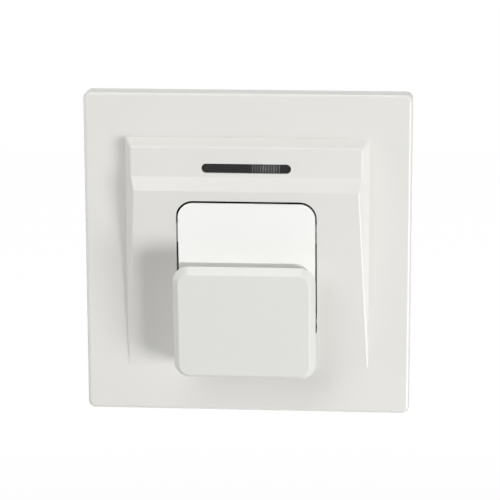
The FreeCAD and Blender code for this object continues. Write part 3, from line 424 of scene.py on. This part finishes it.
def with_radius(tree, rod, radius):
    """A rod of radius 1 along Z, each of whose points is moved to its own radius."""
    stretch = add(tree, "ShaderNodeCombineXYZ", inputs=[radius, radius, 1.0])
    position = add(tree, "GeometryNodeInputPosition")
    moved = add(tree, "ShaderNodeVectorMath", TIMES, [position, stretch])
    return add(tree, "GeometryNodeSetPosition", inputs={"Geometry": rod, "Position": moved})


def run_shape(tree, name, sizes, points):
    """The tree's result on some points, as the plain mesh of a new piece."""
    seeds = bpy.data.meshes.new(name + "_points")
    seeds.from_pydata(points, [], [])
    source = bpy.data.objects.new(name + "_source", seeds)
    bpy.context.scene.collection.objects.link(source)
    modifier = source.modifiers.new("shape", "NODES")
    modifier.node_group = tree
    for socket in tree.interface.items_tree:
        if socket.in_out == "INPUT" and socket.name in sizes:
            modifier[socket.identifier] = sizes[socket.name]
    evaluated = source.evaluated_get(bpy.context.evaluated_depsgraph_get())
    mesh = bpy.data.meshes.new_from_object(evaluated)
    bpy.data.objects.remove(source)
    piece = bpy.data.objects.new(name, mesh)
    bpy.context.scene.collection.objects.link(piece)
    print(name, len(mesh.vertices), "points", len(mesh.polygons), "faces")
    return piece


# %% [markdown]
# ## The locator lens
# The window over the locator lamps is one smoked moulding: a bar with round ends that fills the slot,
# with small upright flutes that spread the lamp's light sideways, and a flange behind the wall. Flutes
# could be cut one by one. Here a fine grid is bent instead, so the sizes of the flutes are a few numbers.

# %% The lens's plastic
# Smoked polycarbonate: nearly black, with a low gloss, and clear enough to let a lamp through
smoked, tree = new_finish("smoked_polycarbonate")
place = add(tree, "ShaderNodeTexCoord").outputs["Object"]
haze_inputs = {"Vector": place, "Scale": 1 / (1.5 * MM), "Detail": 2.0}
haze = add(tree, "ShaderNodeTexNoise", inputs=haze_inputs).outputs["Fac"]
smoke_colours = {0: haze, 6: linear("#1C1B1B"), 7: linear("#212020")}
surface = {
    "Base Color": add(tree, MIX, OF_COLOURS, smoke_colours).outputs[2],
    "Roughness": add(tree, MIX, OF_NUMBERS, {0: haze, 2: 0.1, 3: 0.15}),
    "IOR": 1.585,
    "Specular IOR Level": 0.2,
    "Transmission Weight": 0.2,
}
close_finish(tree, surface)
print("lens plastic", smoked.name)

# %% [markdown]
# The grid starts flat and one unit high. Each of its columns is made as high as the slot is at that
# place, so the rows close up towards the round ends, and the whole is then pushed forward into a bar.

# %% The bar of the lens by Geometry Nodes
lens_sizes = {
    "Width": 23.24 * MM,
    "Height": 2.34 * MM,
    "Level": 23.7 * MM,
    "Face": -8.35 * MM,
    "Back": -6.4 * MM,
    "Flute Pitch": 0.71 * MM,
    "Flute Start": -4.05 * MM,
    "Flute End": 8.73 * MM,
    "First Height": 0.03 * MM,
    "Last Height": 0.17 * MM,
}
lens_columns = 401
lens_rows = 9
weld = 0.002 * MM
tree, size = new_shape("fluted_lens", lens_sizes)
sheet = add(
    tree,
    "GeometryNodeMeshGrid",
    inputs={"Size X": size["Width"], "Size Y": 1.0, "Vertices X": lens_columns, "Vertices Y": lens_rows},
)
spot = axes_of_points(tree)
radius = add(tree, MATH, TIMES, [size["Height"], 0.5])
half_width = add(tree, MATH, TIMES, [size["Width"], 0.5])
straight = add(tree, MATH, MINUS, [half_width, radius])
across = add(tree, MATH, UNSIGNED, [spot["X"]])
past_straight = add(tree, MATH, MINUS, [across, straight])
beyond = add(tree, MATH, LARGER, [past_straight, 0.0])
radius_squared = add(tree, MATH, TO_POWER, [radius, 2.0])
beyond_squared = add(tree, MATH, TO_POWER, [beyond, 2.0])
height_squared = add(tree, MATH, MINUS, [radius_squared, beyond_squared])
not_negative = add(tree, MATH, LARGER, [height_squared, 0.0])
half_height = add(tree, MATH, {"operation": "SQRT"}, [not_negative])
share_up = add(tree, MATH, TIMES, [spot["Y"], 2.0])
rise = add(tree, MATH, TIMES, [share_up, half_height])
height = add(tree, MATH, PLUS, [rise, size["Level"]])
flat = add(tree, "ShaderNodeCombineXYZ", inputs=[spot["X"], size["Back"], height])
bar = add(tree, "GeometryNodeSetPosition", inputs={"Geometry": sheet, "Position": flat})
thickness = add(tree, MATH, MINUS, [size["Face"], size["Back"]])
forward = add(tree, "ShaderNodeCombineXYZ", inputs={"Y": thickness})
raised = add(
    tree,
    "GeometryNodeExtrudeMesh",
    {"mode": "FACES"},
    {"Mesh": bar, "Offset": forward, "Individual": False},
)
print("a bar of", lens_columns, "columns")

# %% [markdown]
# The flutes stand on the bar's front face alone. Each is a shallow arch over its own pitch: it is full
# in the middle and falls with the square of the way from there. The arches grow towards the right, where
# the photograph shows them brightest.

# %% The flutes of the lens
here = axes_of_points(tree)
from_start = add(tree, MATH, MINUS, [here["X"], size["Flute Start"]])
turns = add(tree, MATH, OVER, [from_start, size["Flute Pitch"]])
part_of_turn = add(tree, MATH, {"operation": "FRACT"}, [turns])
from_crest = add(tree, MATH, MINUS, [part_of_turn, 0.5])
off_middle = add(tree, MATH, UNSIGNED, [from_crest])
off_squared = add(tree, MATH, TO_POWER, [off_middle, 2.0])
fallen = add(tree, MATH, TIMES, [off_squared, 4.0])
arch = add(tree, MATH, MINUS, [1.0, fallen])
fluted_width = add(tree, MATH, MINUS, [size["Flute End"], size["Flute Start"]])
along = add(tree, MATH, OVER, [from_start, fluted_width])
growth = add(tree, MATH, MINUS, [size["Last Height"], size["First Height"]])
grown = add(tree, MATH, TIMES, [growth, along])
tall = add(tree, MATH, PLUS, [grown, size["First Height"]])
past_start = add(tree, MATH, {"operation": "GREATER_THAN"}, [here["X"], size["Flute Start"]])
before_end = add(tree, MATH, {"operation": "LESS_THAN"}, [here["X"], size["Flute End"]])
fluted = add(tree, MATH, TIMES, [past_start, before_end])
to_front = add(tree, MATH, TIMES, [fluted, -1.0])
bulge = add(tree, MATH, TIMES, [arch, tall])
out = add(tree, MATH, TIMES, [bulge, to_front])
offset = add(tree, "ShaderNodeCombineXYZ", inputs={"Y": out})
flutes = add(
    tree,
    "GeometryNodeSetPosition",
    inputs={"Geometry": raised, "Selection": raised.outputs["Top"], "Offset": offset},
)
lid = add(tree, "GeometryNodeFlipFaces", inputs={"Mesh": bar})
closed = add(tree, "GeometryNodeJoinGeometry", inputs=[flutes])
tree.links.new(lid.outputs[0], closed.inputs[0])
whole = add(tree, "GeometryNodeMergeByDistance", inputs={"Geometry": closed, "Distance": weld})
close_shape(tree, whole, smoked)
lens_piece = run_shape(tree, "fluted_locator_lens", lens_sizes, [(0, 0, 0)])

# %% [markdown]
# The flange is a plain plate with soft corners, so it comes from mesh code: a box, and a bevel on all
# its edges. It joins the bar in one piece.


# %% The lens's flange
def bevelled_box(low, high, edge):
    """A box between two corners, with its edges rounded in two steps."""
    shape = bmesh.new()
    size = Vector(high) - Vector(low)
    middle = (Vector(high) + Vector(low)) / 2
    bmesh.ops.create_cube(shape, size=1.0, matrix=Matrix.Translation(middle) @ Matrix.Diagonal((*size, 1)))
    bmesh.ops.bevel(shape, geom=shape.edges[:], offset=edge, segments=2, profile=0.5, affect="EDGES")
    return shape


def add_to(piece, shape):
    """Adds a bmesh to a piece's mesh, with all faces turned outwards."""
    together = bmesh.new()
    together.from_mesh(piece.data)
    extra = bpy.data.meshes.new("extra")
    shape.to_mesh(extra)
    together.from_mesh(extra)
    bmesh.ops.recalc_face_normals(together, faces=together.faces[:])
    together.to_mesh(piece.data)
    bpy.data.meshes.remove(extra)
    together.free()
    shape.free()


flange_low = (-13.6 * MM, -7.0 * MM, 20.55 * MM)
flange_high = (13.6 * MM, -5.8 * MM, 26.85 * MM)
flange_edge = 0.2 * MM
add_to(lens_piece, bevelled_box(flange_low, flange_high, flange_edge))
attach(lens_piece, "base")
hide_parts("indicator_lens")
print("lens", len(lens_piece.data.polygons), "faces")

# %% [markdown]
# ## The box screws
# Two long machine screws hold the frame to the wall box. Their heads come from the solids: a merged
# copy, cut off where the plain neck ends. The thread is rolled, M4 with a pitch of 0.7 mm. A profile
# could be swept along a helix, but its ends would need mending. A fine cylinder whose radius goes up
# and down gives the same surface in one closed piece.

# %% The rod of a screw by Geometry Nodes
screw_low, screw_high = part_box("box_screws")
head_radius = 3.8 * MM
screw_x = screw_high.x - head_radius
neck_end = 0.3 * MM
thread_sizes = {
    "Pitch": 0.7 * MM,
    "Crest": 1.98 * MM,
    "Core": 1.62 * MM,
    "Length": screw_high.y - neck_end,
}
around = 32
steps_per_turn = 8
steps = int(thread_sizes["Length"] / thread_sizes["Pitch"] * steps_per_turn)
tree, size = new_shape("rolled_thread", thread_sizes)
rod = add(
    tree,
    "GeometryNodeMeshCylinder",
    {"fill_type": "TRIANGLE_FAN"},
    {"Vertices": around, "Side Segments": steps, "Radius": 1.0, "Depth": size["Length"]},
)
print("a rod of", steps, "steps")

# %% [markdown]
# The thread follows one rule. The radius depends on the place along the screw, counted in pitches, less
# the turn around it: it goes up and down once for each pitch. The ridge runs out within one pitch of
# both ends, as where the rolling die lets go. One instance on each screw's axis gives both threads.

# %% The thread's ridge
spot = axes_of_points(tree)
angle = add(tree, MATH, {"operation": "ARCTAN2"}, [spot["Y"], spot["X"]])
turn = add(tree, MATH, OVER, [angle, math.tau])
climb = add(tree, MATH, OVER, [spot["Z"], size["Pitch"]])
place_in_pitch = add(tree, MATH, MINUS, [climb, turn])
half_ridge = add(tree, MATH, {"operation": "PINGPONG"}, [place_in_pitch, 0.5])
ridge = add(tree, MATH, TIMES, [half_ridge, 2.0])
half_length = add(tree, MATH, TIMES, [size["Length"], 0.5])
from_middle = add(tree, MATH, UNSIGNED, [spot["Z"]])
to_end = add(tree, MATH, MINUS, [half_length, from_middle])
run_out = add(tree, MATH, {**OVER, "use_clamp": True}, [to_end, size["Pitch"]])
full_depth = add(tree, MATH, MINUS, [size["Crest"], size["Core"]])
deep = add(tree, MATH, TIMES, [ridge, full_depth])
standing = add(tree, MATH, TIMES, [deep, run_out])
reach = add(tree, MATH, PLUS, [standing, size["Core"]])
thread = with_radius(tree, rod, reach)
laid = add(
    tree,
    "GeometryNodeTransform",
    inputs={"Geometry": thread, "Rotation": (-math.pi / 2, 0, 0)},
)
both = add(tree, "GeometryNodeInstanceOnPoints", inputs={"Points": size["Geometry"], "Instance": laid})
close_shape(tree, both, zinc)
middle_y = (neck_end + screw_high.y) / 2
screws = run_shape(tree, "threaded_box_screws", thread_sizes, [(x, middle_y, 0) for x in (-screw_x, screw_x)])

# %% [markdown]
# The heads are taken from the CAD mesh. It is loose triangles, so the copy is merged first. Everything
# behind the end of the neck is cut away, and the cut is closed.


# %% The heads of the box screws
def merged(name):
    """A merged copy of a CAD piece's mesh."""
    shape = bmesh.new()
    shape.from_mesh(nodes[name].data)
    bmesh.ops.remove_doubles(shape, verts=shape.verts[:], dist=weld)
    return shape


heads = merged("box_screws")
parts = heads.verts[:] + heads.edges[:] + heads.faces[:]
bmesh.ops.bisect_plane(heads, geom=parts, plane_co=(0, neck_end, 0), plane_no=(0, 1, 0), clear_outer=True)
bmesh.ops.holes_fill(heads, edges=[edge for edge in heads.edges if edge.is_boundary])
add_to(screws, heads)
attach(screws, "base")
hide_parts("box_screws")
print("box screws", len(screws.data.polygons), "faces, axes at x =", round(screw_x / MM, 2), "mm")

# %% [markdown]
# ## Solder joints
# Every lead that comes through the board stands in a small bright cone of solder. The leads' ends are
# found on the solids: the foremost points of each part that stands behind the board, or the rearmost
# of each part in front of it, gathered by place.

# %% Where the leads end
board_front = board_front_mm * MM
board_back = board_back_mm * MM
tail = 1.0 * MM
same_depth = 0.01 * MM
same_lead = 1.0 * MM
rear_parts = (
    "power_relay",
    "film_capacitor",
    "smoothing_capacitor",
    "varistor",
    "fusible_resistor",
    "rectifier_diodes",
    "transistor",
)
fore_parts = ("locator_leds", "microswitch_pins")


def lead_ends(name, y):
    """Middles of the leads of a part that end at a depth."""
    ends = []
    for vertex in nodes[name].data.vertices:
        if abs(vertex.co.y - y) > same_depth:
            continue
        near = [end for end in ends if (end[0] - vertex.co).length < same_lead]
        if near:
            near[0].append(vertex.co)
        else:
            ends.append([vertex.co])
    places = []
    for end in ends:
        xs = [place.x for place in end]
        zs = [place.z for place in end]
        places.append(((min(xs) + max(xs)) / 2, (min(zs) + max(zs)) / 2))
    return places


feet = [(x, board_front, z) for name in rear_parts for x, z in lead_ends(name, board_front - tail)]
feet += [(x, board_back, z) for name in fore_parts for x, z in lead_ends(name, board_back + tail)]
print(len(feet), "leads through the board")

# %% [markdown]
# The joint is drawn once, as a rod whose radius shrinks fast at the board and slowly at its tip, where it
# is as thin as the lead. That is how molten solder wets a pad and climbs a wire. An instance stands at
# each lead, and those behind the middle of the board are turned to the rear.

# %% The solder joints by Geometry Nodes
joint_sides = 20
joint_steps = 6
hollowness = 2.2
joint_sizes = {"Pad Radius": 0.85 * MM, "Lead Radius": 0.38 * MM, "Height": 0.75 * MM}
tree, size = new_shape("solder_joint", joint_sizes)
blank = add(
    tree,
    "GeometryNodeMeshCylinder",
    {"fill_type": "TRIANGLE_FAN"},
    {"Vertices": joint_sides, "Side Segments": joint_steps, "Radius": 1.0, "Depth": size["Height"]},
)
spot = axes_of_points(tree)
from_middle = add(tree, MATH, OVER, [spot["Z"], size["Height"]])
up_share = add(tree, MATH, PLUS, [from_middle, 0.5])
down_share = add(tree, MATH, {**MINUS, "use_clamp": True}, [1.0, up_share])
foot_share = add(tree, MATH, TO_POWER, [down_share, hollowness])
spread = add(tree, MATH, MINUS, [size["Pad Radius"], size["Lead Radius"]])
widened = add(tree, MATH, TIMES, [spread, foot_share])
reach = add(tree, MATH, PLUS, [widened, size["Lead Radius"]])
flared = with_radius(tree, blank, reach)
half_height = add(tree, MATH, TIMES, [size["Height"], 0.5])
half_up = add(tree, "ShaderNodeCombineXYZ", inputs={"Z": half_height})
cone = add(tree, "GeometryNodeSetPosition", inputs={"Geometry": flared, "Offset": half_up})
depth = axes_of_points(tree)["Y"]
behind = add(tree, MATH, {"operation": "GREATER_THAN"}, [depth, (board_front + board_back) / 2])
tilt = add(tree, MATH, {"operation": "MULTIPLY_ADD"}, [behind, -math.pi, math.pi / 2])
turned = add(tree, "ShaderNodeCombineXYZ", inputs={"X": tilt})
stood = add(
    tree,
    "GeometryNodeInstanceOnPoints",
    inputs={"Points": size["Geometry"], "Instance": cone, "Rotation": turned},
)
close_shape(tree, stood, tin)
joints = run_shape(tree, "solder_joints", joint_sizes, feet)
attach(joints, "base")
print(len(feet), "solder joints")

# %% [markdown]
# ## Floor and background
# The background of the photograph is pure white. A white floor alone would need so much light that the
# switch would burn out. Instead the floor shows most of its white to the camera by itself, and keeps a
# share that takes light, so a shadow still falls on it. Far from the switch it shows a little more, so
# that its edge can't be seen against the sky. The switch hangs well above it, as on a wall.

# %% Floor
WHITE = (1, 1, 1, 1)
floor_half = 3.0
floor_z = -0.55
corners = [(x * floor_half, y * floor_half, floor_z) for x, y in ((-1, -1), (1, -1), (1, 1), (-1, 1))]
floor_mesh = bpy.data.meshes.new("floor")
floor_mesh.from_pydata(corners, [], [(0, 1, 2, 3)])
floor = bpy.data.objects.new("floor", floor_mesh)
bpy.context.scene.collection.objects.link(floor)


def seen_rays(tree):
    """A value of 1 for rays from the camera, in a mirror or through glass, and 0 for diffuse light."""
    path = add(tree, "ShaderNodeLightPath").outputs
    shiny = add(tree, MATH, LARGER, [path["Is Glossy Ray"], path["Is Transmission Ray"]])
    return add(tree, MATH, LARGER, [path["Is Camera Ray"], shiny])


# Matt white paint for the light that bounces, and for the camera the floor's own white with its shadow
floor_paint, tree = new_finish("white_floor")
paint = add(tree, "ShaderNodeBsdfDiffuse", inputs={"Color": linear("#F0F0F0")})
shadow_share = add(tree, "ShaderNodeBsdfDiffuse", inputs={"Color": (0.2, 0.2, 0.2, 1)})
place = add(tree, "ShaderNodeTexCoord").outputs["Object"]
from_middle = [place, (0, 0, floor_z)]
away = add(tree, "ShaderNodeVectorMath", {"operation": "DISTANCE"}, from_middle).outputs["Value"]
near_to_far = {"Value": away, "From Min": 0.8, "From Max": 1.6, "To Min": 0.88, "To Max": 0.97}
glow = add(tree, "ShaderNodeMapRange", inputs=near_to_far)
own_white = add(tree, "ShaderNodeEmission", inputs={"Color": WHITE, "Strength": glow})
seen_white = add(tree, "ShaderNodeAddShader", inputs=[shadow_share, own_white])
floor_shader = add(tree, "ShaderNodeMixShader", inputs=[seen_rays(tree), paint, seen_white])
add(tree, "ShaderNodeOutputMaterial", inputs={"Surface": floor_shader})
floor_mesh.materials.append(floor_paint)
print("floor", floor_half * 2, "m wide, at", floor_z, "m")

# %% [markdown]
# ## Lamps
# Four soft lamps light the switch. The strongest stands low on the right: the lip throws a soft shadow
# up and to the left. A weaker one stands high on the left. The third hangs above and lights mostly what
# looks up, such as the bevel over the window. The fourth stands on the left and reaches the steep left
# sides of the lip and the block. A little room light fills the rest.
#
# The photograph shows no lip shadow on the bright flap, only a thin dark line along the lip's top. A
# photographer does that with a flag and a small frontal lamp. Light linking does it here: the strong
# lamp leaves the flap out, and a small lamp in front lights the flap alone.

# %% World and lamps
room_light = 0.1
lamp_distance = 0.9
world = bpy.data.worlds.new("studio")
bpy.context.scene.world = world
world.use_nodes = True
world.node_tree.nodes.clear()
room = add(world.node_tree, "ShaderNodeBackground", inputs={"Color": WHITE, "Strength": room_light})
white = add(world.node_tree, "ShaderNodeBackground", inputs={"Color": WHITE, "Strength": 1.0})
sky = add(world.node_tree, "ShaderNodeMixShader", inputs=[seen_rays(world.node_tree), room, white])
add(world.node_tree, "ShaderNodeOutputWorld", inputs={"Surface": sky})


def soft_lamp(name, direction, side, watts):
    """A square lamp that stands in one direction and looks at the switch."""
    data = bpy.data.lights.new(name, "AREA")
    data.size = side
    data.energy = watts
    lamp = bpy.data.objects.new(name, data)
    lamp.location = Vector(direction).normalized() * lamp_distance
    lamp.rotation_euler = (-lamp.location).to_track_quat("-Z", "Y").to_euler()
    bpy.context.scene.collection.objects.link(lamp)
    print(name, watts, "W at", [round(v, 2) for v in lamp.location])
    return lamp


def linked(name, pieces, state):
    """A set of pieces that a lamp lights alone (INCLUDE) or leaves out (EXCLUDE)."""
    chosen = bpy.data.collections.new(name)
    for piece in pieces:
        chosen.objects.link(piece)
    for entry in chosen.collection_objects:
        entry.light_linking.link_state = state
    return chosen


key_watts = 5.8
fill_watts = 2.6
top_watts = 3.4
flap_watts = 4.1
left_watts = 1.7
key = soft_lamp("low_right_lamp", (0.75, -0.6, -0.25), 0.35, key_watts)
soft_lamp("high_left_lamp", (-0.45, -0.75, 0.5), 0.5, fill_watts)
soft_lamp("overhead_lamp", (0, -0.25, 0.97), 0.4, top_watts)
soft_lamp("left_lamp", (-0.98, -0.12, -0.08), 0.3, left_watts)
front = soft_lamp("flap_lamp", (0.2, -0.98, 0.12), 0.02, flap_watts)
key.light_linking.receiver_collection = linked("all_but_the_flap", [nodes["card_flap"]], "EXCLUDE")
front.light_linking.receiver_collection = linked("the_flap_alone", [nodes["card_flap"]], "INCLUDE")
bpy.context.scene.view_settings.view_transform = "Standard"
